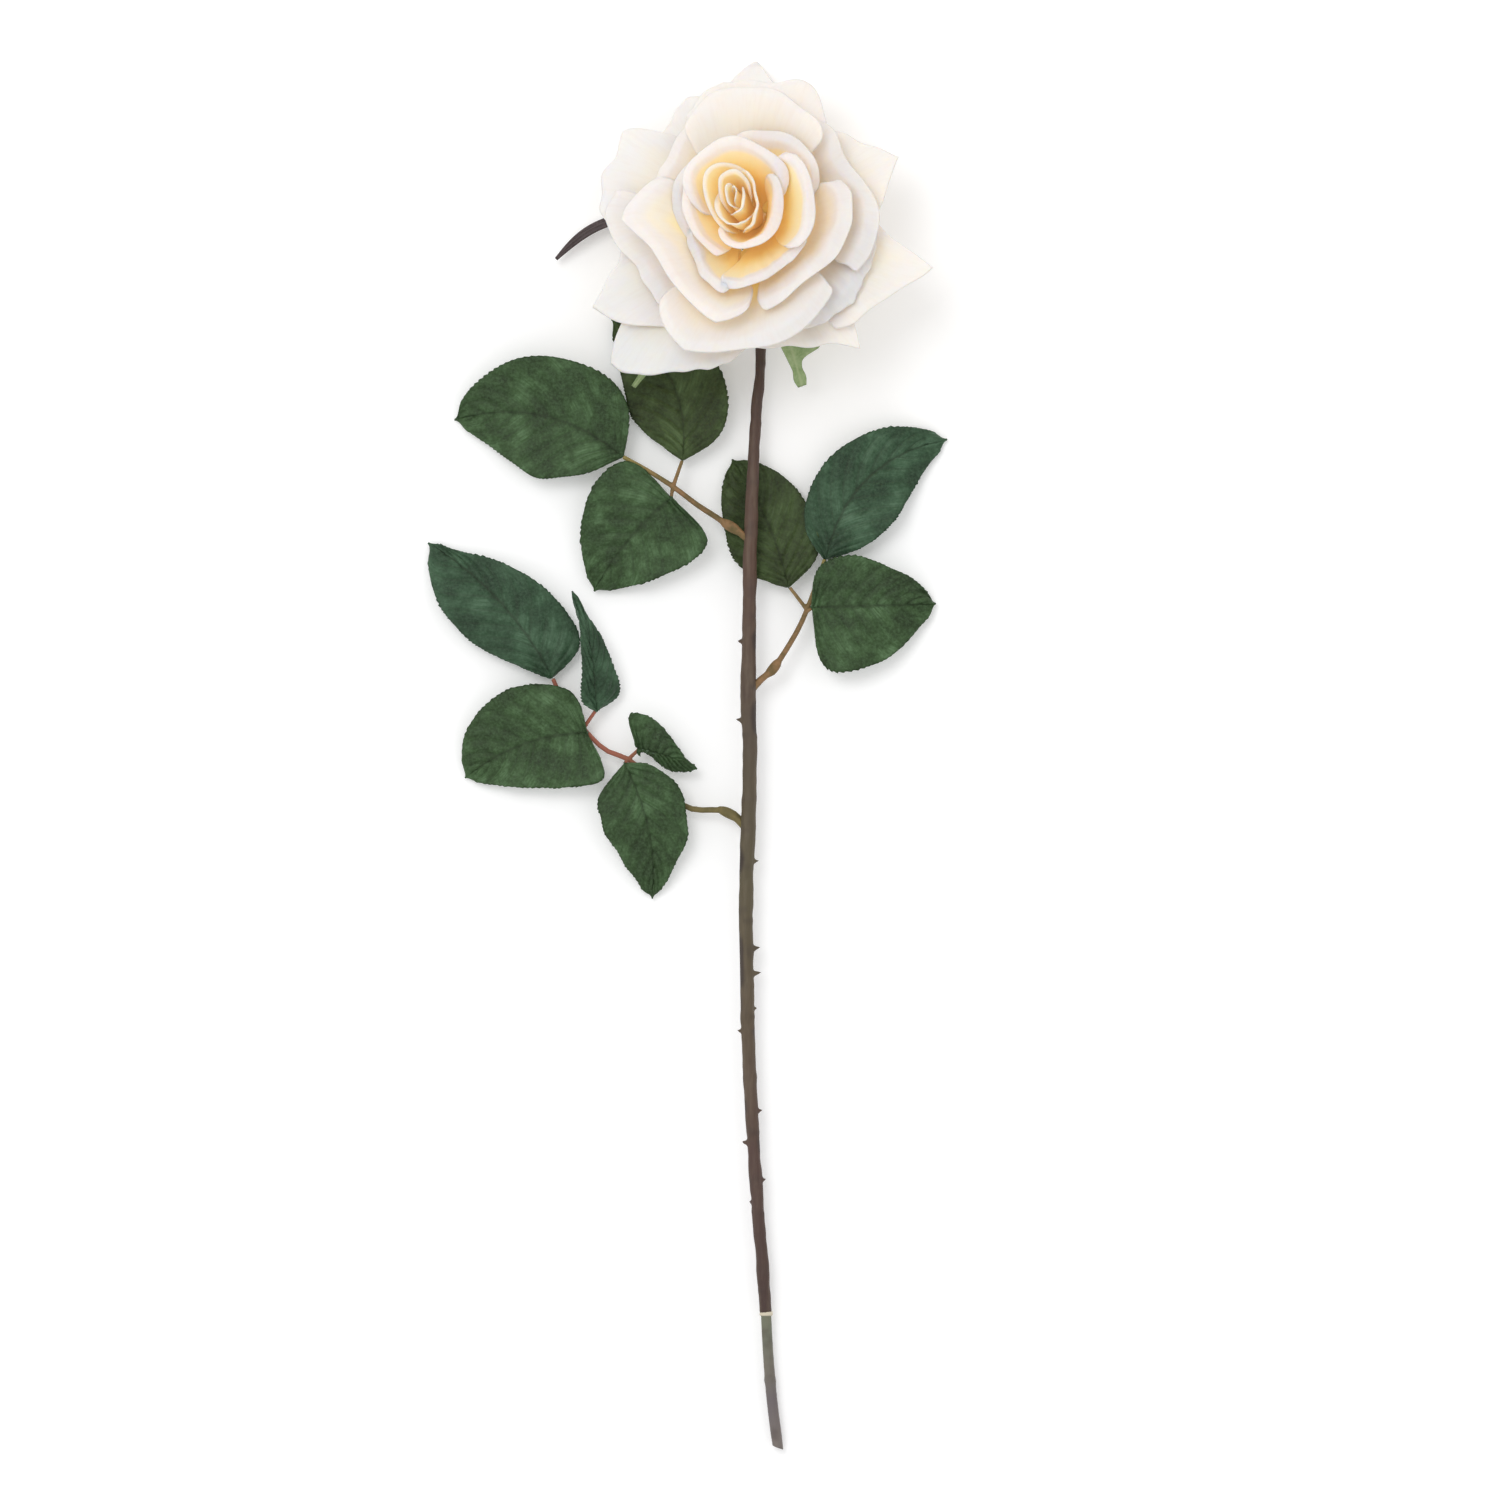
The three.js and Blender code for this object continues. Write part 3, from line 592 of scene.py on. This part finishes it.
def make_petal(k):
    name = f"petal_{k:02d}"
    rng = np.random.default_rng(400 + k)
    roll_length, roll_angle, corner, more, ruffle_height = row_for(RIMS, k)
    middle = sheet_grid(name, PETAL_GRID, hip_points, lambda points: above_hip - points)
    dense = refined(middle, PETAL_ACROSS, DENSE_ALONG)
    u = PETAL_ACROSS[None, :]
    v = PETAL_ALONG[:, None]
    # The corners of the rim are rounded, and its points are sharpened. extra is in millimetres.
    near_side = np.clip((np.abs(2 * u - 1) - 0.6) / 0.4, 0, 1)
    extra = more - corner * (1 - np.sqrt(1 - near_side ** 2))
    crease = 0 * u
    if k >= FIRST_OUTER:
        longer = GUARD_POINT_LENGTH if k >= FIRST_GUARD else POINT_LENGTH
        for i in points_of_rim(column_lengths(middle)):
            away = np.abs(u - i / PETAL_GRID[0])
            extra = extra + longer * np.exp(-away / POINT_WIDTH)
            crease = crease + np.exp(-away / CREASE_WIDTH)
    extra = extra + 0.7 * waves(rng, u, 0 * u, 4, 14.0, 1.0)
    grid = trimmed(dense, v * (1 + extra * MM / column_lengths(dense)[None, :]))
    # Rolled rim: the last few millimetres turn outwards.
    steps = np.linalg.norm(np.diff(grid, axis=0), axis=2)
    run = np.concatenate([np.zeros((1, grid.shape[1])), np.cumsum(steps, axis=0)])
    from_rim = (run[-1] - run) / MM
    wave = waves(rng, u * 2, v * 0.0 + 1, 3, 2.4, 0)
    reach = roll_length * (1 + 0.25 * wave)
    share = smooth((reach - from_rim) / (0.55 * reach))
    angles = math.radians(roll_angle) * share * (1 + 0.2 * wave)
    grid = curled(grid, (angles[1:] + angles[:-1]) / 2)
    # Ruffles near the rim, shallow dents, and creases that run to the points.
    ruffle = waves(rng, u, v, 6, 16.0, 2.0) * smooth(v) ** 3
    dent = waves(rng, u, v, 4, 3.0, 3.0) * smooth(v * 2)
    fold = crease * smooth((v - 0.45) / 0.5)
    height = ruffle * ruffle_height + dent * DENT_HEIGHT - fold
    grid = grid + normals_of(grid) * height[..., None] * MM
    thickness = (PETAL_THICKNESS + RIM_THICKENING * smooth(1 - from_rim / RIM_BAND)) * MM
    piece = build_sheet(f"rose_{name}", grid, thickness, {
        "across": u, "along": v, "seed": np.float64(k * 3.7), "gold_and_glow": petal_blush(k, from_rim, roll_length),
    })
    place(piece, name, petal_look)


for number in range(1, PETAL_COUNT + 1):
    make_petal(number)


# ---------- leaflets, sepals and bract ----------
LEAF_ACROSS = np.linspace(0, 1, 41)
LEAF_ALONG = np.linspace(0, 1, 121)
LEAF_THICKNESS = 0.42 * MM
VEIN_PAIRS = 7
VEIN_SLANT = 0.3  # how much further along the leaf a side vein ends than it starts, as a share of the length
VEIN_WIDTH = 0.085  # as a share of the way to the next vein
MIDRIB_WIDTH = 0.035  # as a share of half the leaf
QUILT_HEIGHT, VEIN_DEPTH, MIDRIB_DEPTH = 0.5, 0.45, 0.6  # mm
BUCKLE_HEIGHT, EDGE_WAVE_HEIGHT = 0.6, 0.7  # mm
TOOTH_PITCH = 1.8  # mm
TOOTH_OUT, TOOTH_FORWARD = 0.6, 0.35  # mm
SWELL = 0.7  # mm that the outline swells in and out
TIP_SHARE, TIP_NARROWING = 0.07, 0.85
BASE_REACH = 1.2  # mm that the base reaches back on to its stalk
BLADE_ACROSS = np.linspace(0, 1, 17)
BLADE_ALONG = np.linspace(0, 1, 61)
BLADE_THICKNESS = 0.4 * MM

leaf_look = leaf_material(
    "leaf", rgb(32, 47, 22), rgb(54, 80, 42), rgb(104, 134, 98), rgb(80, 100, 78), rgb(34, 44, 24)
)
leaf_blue_look = leaf_material(
    "leaf_blue_green", rgb(30, 50, 32), rgb(50, 80, 54), rgb(98, 126, 102), rgb(78, 98, 82), rgb(40, 46, 32)
)
leaf_olive_look = leaf_material(
    "leaf_olive", rgb(34, 42, 18), rgb(58, 74, 36), rgb(92, 114, 74), rgb(82, 98, 72), rgb(34, 40, 22)
)
LEAFLETS = (
    ("leaflet_a1", leaf_look), ("leaflet_a2", leaf_olive_look), ("leaflet_a3", leaf_look),
    ("leaflet_b1", leaf_olive_look), ("leaflet_b2", leaf_blue_look), ("leaflet_b3", leaf_look),
    ("leaflet_c1", leaf_blue_look), ("leaflet_c2", leaf_blue_look), ("leaflet_c3", leaf_look),
    ("leaflet_c4", leaf_look), ("leaflet_c5", leaf_look),
)

# Sepals with a lobe on one side: where it is along the length, how much wider it is, how blunt the tip is.
LOBES = {"sepal_1": (0.72, 2.4, 1.0), "sepal_3": (0.5, 0.8, 0.4), "sepal_5": (0.55, 0.9, 0.0)}


def own_random(name):
    return np.random.default_rng(sum(map(ord, name)))


def make_leaflet(name, material):
    rng = own_random(name)
    middle = sheet_grid(name, LEAF_GRID, points_of(f"rachis_{name[-2]}"), lambda points: UPWARDS)
    grid = refined(middle, LEAF_ACROSS, LEAF_ALONG)
    rib_column = len(LEAF_ACROSS) // 2
    u = LEAF_ACROSS[None, :] * 2 - 1
    v = LEAF_ALONG[:, None]
    side = np.abs(u)
    inner = smooth((1 - v) * 8) * smooth(v * 8)
    # Side veins run from the midrib towards the tip. phase counts them along the leaf.
    phase = (v - VEIN_SLANT * side) * (VEIN_PAIRS + 2) + 0.25 * np.sign(u)
    near_vein = np.abs((phase + 0.5) % 1 - 0.5)
    fade = smooth((1 - v) * 6) * smooth(v * 8)
    groove = hump(near_vein, VEIN_WIDTH) * (1 - 0.6 * side) * fade
    midrib = hump(side, MIDRIB_WIDTH)
    quilt = np.cos(2 * math.pi * phase) * -0.5 * fade * (1 - side ** 4)
    height = QUILT_HEIGHT * quilt - VEIN_DEPTH * groove - MIDRIB_DEPTH * midrib
    height = height + BUCKLE_HEIGHT * waves(rng, u, v, 5, 3.0, 6.0)
    height = height + EDGE_WAVE_HEIGHT * waves(rng, u, v, 3, 0.6, 16.0) * side ** 3
    grid = grid + normals_of(grid) * height[..., None] * MM
    # Fine teeth that point towards the tip.
    outward = unit(np.gradient(grid, axis=1)) * np.sign(u)[..., None]
    forward = unit(np.gradient(grid, axis=0))
    length = column_lengths(grid)[rib_column] / MM
    saw = (v * length / TOOTH_PITCH + 0.35 * waves(rng, 0 * u, v, 3, 0, 30.0) + 0.5 * np.sign(u)) % 1.0
    tooth = np.where(saw < 0.7, saw / 0.7, (1 - saw) / 0.3) * smooth(side * 10 - 9) * smooth((1 - v) * 12)
    tooth = tooth * (0.8 + 0.45 * waves(rng, 0 * u, v, 4, 0, 22.0))
    grid = grid + (outward * TOOTH_OUT + forward * TOOTH_FORWARD) * tooth[..., None] * MM
    swell = waves(rng, np.sign(u), v, 3, 3.0, 10.0) * side ** 2 * inner
    grid = grid + outward * (SWELL * swell)[..., None] * MM
    # The tip is pointed, and the base reaches back on to its stalk.
    rib = grid[:, rib_column:rib_column + 1]
    narrowing = TIP_NARROWING * smooth((v - 1 + TIP_SHARE) / TIP_SHARE)
    grid = rib + (grid - rib) * (1 - narrowing)[..., None]
    backward = unit(grid[:1] - grid[3:4])
    grid = grid + backward * (smooth(1 - v / 0.05) * BASE_REACH)[..., None] * MM
    piece = build_sheet(f"rose_{name}", grid, LEAF_THICKNESS, {
        "across": side * 0.5, "along": v - VEIN_SLANT * side, "seed": rng.uniform(0, 9) + np.sign(u) * 3,
        "vein": np.clip(0.6 * groove + midrib, 0, 1),
    })
    place(piece, name, material)


def make_blade(name, size, root, material):
    """A sepal or the bract: a narrow sheet with a ridge down its middle and a slightly ragged surface."""
    rng = own_random(name)
    middle = sheet_grid(name, size, root, lambda points: UPWARDS)
    grid = refined(middle, BLADE_ACROSS, BLADE_ALONG)
    u = BLADE_ACROSS[None, :] * 2 - 1
    v = BLADE_ALONG[:, None]
    if name in LOBES:
        spot, wider, tip = LOBES[name]
        lobe = hump(v - spot, 0.05) * smooth(u)
        blunt = smooth((v - 0.86) / 0.1)
        rib = grid[:, len(BLADE_ACROSS) // 2][:, None]
        grid = rib + (grid - rib) * (1 + wider * lobe + tip * blunt)[..., None]
    ridge = hump(u, 0.16)
    height = 0.3 * ridge + 0.3 * waves(rng, u, v, 4, 1.5, 9.0)
    grid = grid + normals_of(grid) * height[..., None] * MM
    piece = build_sheet(f"rose_{name}", grid, BLADE_THICKNESS, {
        "across": u, "along": v, "seed": rng.uniform(0, 9), "vein": ridge,
    })
    place(piece, name, material)


for leaflet, look in LEAFLETS:
    make_leaflet(leaflet, look)
sepal_look = leaf_material(
    "sepal", rgb(122, 146, 92), rgb(158, 176, 128), rgb(186, 198, 160), rgb(140, 158, 112), rgb(178, 188, 146)
)
bract_look = leaf_material(
    "bract", rgb(50, 38, 36), rgb(78, 66, 66), rgb(112, 104, 106), rgb(62, 50, 48), rgb(70, 60, 58)
)
for number in range(1, 6):
    make_blade(f"sepal_{number}", SEPAL_GRID, hip_points, sepal_look)
make_blade("bract", LEAF_GRID, points_of("stem"), bract_look)


# ---------- stem, leaf stalks and hip ----------
NECK_START = 186 * MM  # Y where the straight part of the stem ends
THORN_START = 3.5 * MM  # what lies further than this from the middle of the stem is a thorn
STEM_RINGS = (-213, -195, -182, -168, -150, -128, -104, -92, -66, -45, -18, 8, 27, 46, 66, 88, 108, 131, 155)
NECK_PULL = 3 * MM  # how far the top of the stem goes up into the hip
HIP_GREEN = 14 * MM  # the hip is green up to this height
SMOOTH_PASSES = 6
SMOOTH_OUT, SMOOTH_BACK = 0.6, -0.61  # taking turns, they smooth a mesh without shrinking it


def stem_centre(y):
    """X and Z of the middle of the stem at each Y."""
    spots = points_of("stem")
    marks = np.arange(spots[:, 1].min(), spots[:, 1].max(), 4 * MM)
    weights = hump(marks[:, None] - spots[None, :, 1], 5 * MM)
    weights /= weights.sum(axis=1, keepdims=True)
    return np.stack([np.interp(y, marks, weights @ spots[:, axis]) for axis in (0, 2)], axis=1)


def end_centre(y):
    """X and Z of the middle of the bare end at each Y."""
    spots = points_of("stem_end")
    marks = np.linspace(spots[:, 1].min(), spots[:, 1].max(), 12)
    weights = hump(marks[:, None] - spots[None, :, 1], 4 * MM)
    weights /= weights.sum(axis=1, keepdims=True)
    return np.stack([np.interp(y, marks, weights @ spots[:, axis]) for axis in (0, 2)], axis=1)


def barked(co):
    """Stem points with knobbly bark and the top drawn into the hip, and how dark the bark is at each."""
    rng = np.random.default_rng(77)
    away = co[:, [0, 2]] - stem_centre(co[:, 1])
    distance = np.linalg.norm(away, axis=1)
    straight = smooth((NECK_START - co[:, 1]) / (20 * MM))
    around = away[:, 0] / np.maximum(distance, MM)
    along = co[:, 1] / MM
    bumps = 0.16 * waves(rng, around, along, 6, 1.2, 0.32) + 0.09 * waves(rng, around, along, 8, 2.5, 1.0)
    ring = sum(hump(along - spot, 1.3) for spot in STEM_RINGS)
    ring = ring * np.clip(0.5 + 0.6 * waves(rng, around, along, 3, 2.0, 0.2), 0, 1)
    thorn = smooth((distance - THORN_START) / (0.8 * MM)) * straight
    to_hip = np.mean(hip_points, axis=0) - co
    from_hip = np.linalg.norm(to_hip, axis=1)
    near_hip = smooth(1 - (from_hip - from_hip.min()) / (7 * MM))
    co = co + unit(to_hip) * near_hip[:, None] * NECK_PULL
    push = (bumps + 0.22 * ring) * (1 - thorn) * straight
    co[:, [0, 2]] += away / np.maximum(distance, MM)[:, None] * push[:, None] * MM
    return co, np.clip(0.8 * thorn + 0.3 * ring, 0, 1)


def joined_to_stem(co):
    """Leaf stalk points, with the end beside the stem drawn into it and thickened like a foot, and how far
    out on the leaf each is."""
    centre = stem_centre(co[:, 1])
    middle = np.stack([centre[:, 0], co[:, 1], centre[:, 1]], axis=1)
    distance = np.linalg.norm(co - middle, axis=1)
    end = distance < distance.min() + 1.5 * MM
    foot = co[end].mean(axis=0)
    to_stem = middle[end].mean(axis=0) - foot
    near = np.linalg.norm(co - foot, axis=1)
    pull = smooth(1 - near / (7 * MM))[:, None]
    swollen = smooth(1 - near / (9 * MM))[:, None]
    spine = foot + (co - foot) @ np.outer(unit(to_stem), unit(to_stem))
    co = co + (co - spine) * swollen * 0.35
    down_stem = np.array([0, 1.6 * MM, 0])
    return co + to_stem * pull * 0.75 - down_stem * pull, smooth((near - 30 * MM) / (28 * MM))


def seated(co):
    """Hip points. The part inside the bloom is marked, because it has the petals' colour."""
    height = co @ bloom_axis - (hip_points @ bloom_axis).min()
    return co, smooth((height - HIP_GREEN) / (2 * MM))


def ringed(co):
    """Points of the bare end, with a wider rim at the top that reaches the bark, a node and an oblique cut,
    and how pale each is."""
    from_top = co[:, 1] - co[:, 1].max()
    from_cut = co[:, 1] - co[:, 1].min()
    centre = end_centre(co[:, 1])
    away = np.stack([co[:, 0] - centre[:, 0], np.zeros(len(co)), co[:, 2] - centre[:, 1]], axis=1)
    pale = smooth((from_top + 1.5 * MM) / (0.4 * MM))
    node = hump(from_top + 27 * MM, 1.4 * MM)
    lift = smooth((from_top + 1.2 * MM) / (1.2 * MM)) * 0.6 * MM
    cut = smooth((6 * MM - from_cut) / (6 * MM))
    co = co + away * (0.3 * pale + 0.12 * node)[:, None]
    co[:, 1] += lift - 0.5 * away[:, 0] * cut
    return co, pale


def rounded(node, voxel, shape):
    """A fine, smooth copy of a CAD node. shape moves its points and gives a mark from 0 to 1 for each."""
    copy = added(f"rose_{node}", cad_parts[node].data.copy())
    modifier = copy.modifiers.new("remesh", "REMESH")
    modifier.mode = "VOXEL"
    modifier.voxel_size = voxel * MM
    graph = bpy.context.evaluated_depsgraph_get()
    mesh = bpy.data.meshes.new_from_object(copy.evaluated_get(graph))
    copy.modifiers.clear()
    copy.data = mesh
    count = len(mesh.vertices)
    co = np.zeros(count * 3)
    mesh.vertices.foreach_get("co", co)
    co = co.reshape(-1, 3)
    ends = np.zeros(len(mesh.edges) * 2, int)
    mesh.edges.foreach_get("vertices", ends)
    a, b = ends.reshape(-1, 2).T
    degree = np.bincount(ends, minlength=count)[:, None]
    for step in range(SMOOTH_PASSES):
        total = np.zeros_like(co)
        np.add.at(total, a, co[b])
        np.add.at(total, b, co[a])
        co = co + (total / degree - co) * (SMOOTH_BACK if step % 2 else SMOOTH_OUT)
    co, mark = shape(co)
    put_values(mesh, "mark", mark)
    mesh.vertices.foreach_set("co", co.ravel())
    mesh.polygons.foreach_set("use_smooth", [True] * len(mesh.polygons))
    mesh.update()
    return copy


stem_look = rod_material("bark", "stem", [
    (0.0, rgb(62, 42, 36)), (0.14, rgb(76, 54, 46)), (0.26, rgb(80, 66, 48)), (0.4, rgb(80, 72, 50)),
    (0.53, rgb(78, 66, 52)), (0.7, rgb(82, 58, 46)), (1.0, rgb(58, 44, 38)),
], (300, 40, 300), rgb(46, 34, 30))
end_look = rod_material("stem_end", "stem_end", [
    (0.0, rgb(112, 104, 100)), (0.35, rgb(100, 92, 94)), (0.6, rgb(108, 104, 94)), (1.0, rgb(102, 110, 90)),
], (300, 60, 300), rgb(208, 198, 176))
petiole_look = stalk_material("petiole", rgb(94, 80, 42), rgb(140, 106, 70), rgb(142, 128, 72), 260)
petiole_red_look = stalk_material("petiole_red", rgb(92, 84, 46), rgb(118, 104, 60), rgb(150, 88, 68), 160)
hip_look = stalk_material("hip", rgb(112, 132, 84), rgb(138, 152, 104), rgb(252, 222, 172), 200)
for node, voxel, slot, look, shape in (
    ("stem", 0.5, "stem", stem_look, barked),
    ("stem_end", 0.4, "stem_end", end_look, ringed),
    ("hip", 0.7, "hip", hip_look, seated),
    ("rachis_a", 0.35, "petiole", petiole_look, joined_to_stem),
    ("rachis_b", 0.35, "petiole", petiole_look, joined_to_stem),
    ("rachis_c", 0.35, "petiole", petiole_red_look, joined_to_stem),
):
    place(rounded(node, voxel, shape), node, look)


# ---------- studio ----------
FLOOR_HALF = 6
FLOOR_DROP = 0.2 * MM
WORLD_STRENGTH = 0.85
KEY_PLACE = (-0.9, 1.1, 3.1)
KEY_AIM = (0.0, 0.1, 0.0)
KEY_SIZE = 1.4
KEY_POWER = 30
CAMERA_PLACE = (24.95 * MM, 1.76 * MM, 9.93)
LENS, SENSOR = 600, 36
SIGHT = 30  # how far the camera sees


def make_studio():
    corners = [(x * FLOOR_HALF, y * FLOOR_HALF, 0) for x, y in ((-1, -1), (1, -1), (1, 1), (-1, 1))]
    floor_mesh = bpy.data.meshes.new("floor")
    floor_mesh.from_pydata(corners, [], [(0, 1, 2, 3)])
    floor = added("floor", floor_mesh)
    floor.location.z = -FLOOR_DROP
    look = Nodes("floor")
    look.shade(
        Base_Color=(0.93, 0.93, 0.93, 1), Roughness=0.9, Specular_IOR_Level=0.1,
        Emission_Color=(1, 1, 1, 1), Emission_Strength=0.14,
    )
    floor.data.materials.append(look.material)
    world = bpy.data.worlds.new("studio")
    bpy.context.scene.world = world
    world.use_nodes = True
    background = world.node_tree.nodes["Background"]
    background.inputs["Color"].default_value = (1, 1, 1, 1)
    background.inputs["Strength"].default_value = WORLD_STRENGTH
    key = bpy.data.lights.new("key", "AREA")
    key.size = KEY_SIZE
    key.energy = KEY_POWER
    light = added("key", key)
    light.location = KEY_PLACE
    light.rotation_euler = (Vector(KEY_AIM) - Vector(KEY_PLACE)).to_track_quat("-Z", "Y").to_euler()
    bpy.context.scene.view_settings.view_transform = "Standard"


def make_camera():
    data = bpy.data.cameras.new("camera")
    data.sensor_width = SENSOR
    data.lens = LENS
    data.clip_end = SIGHT
    camera = added("camera", data)
    camera.location = CAMERA_PLACE
    bpy.context.scene.camera = camera


make_studio()
make_camera()
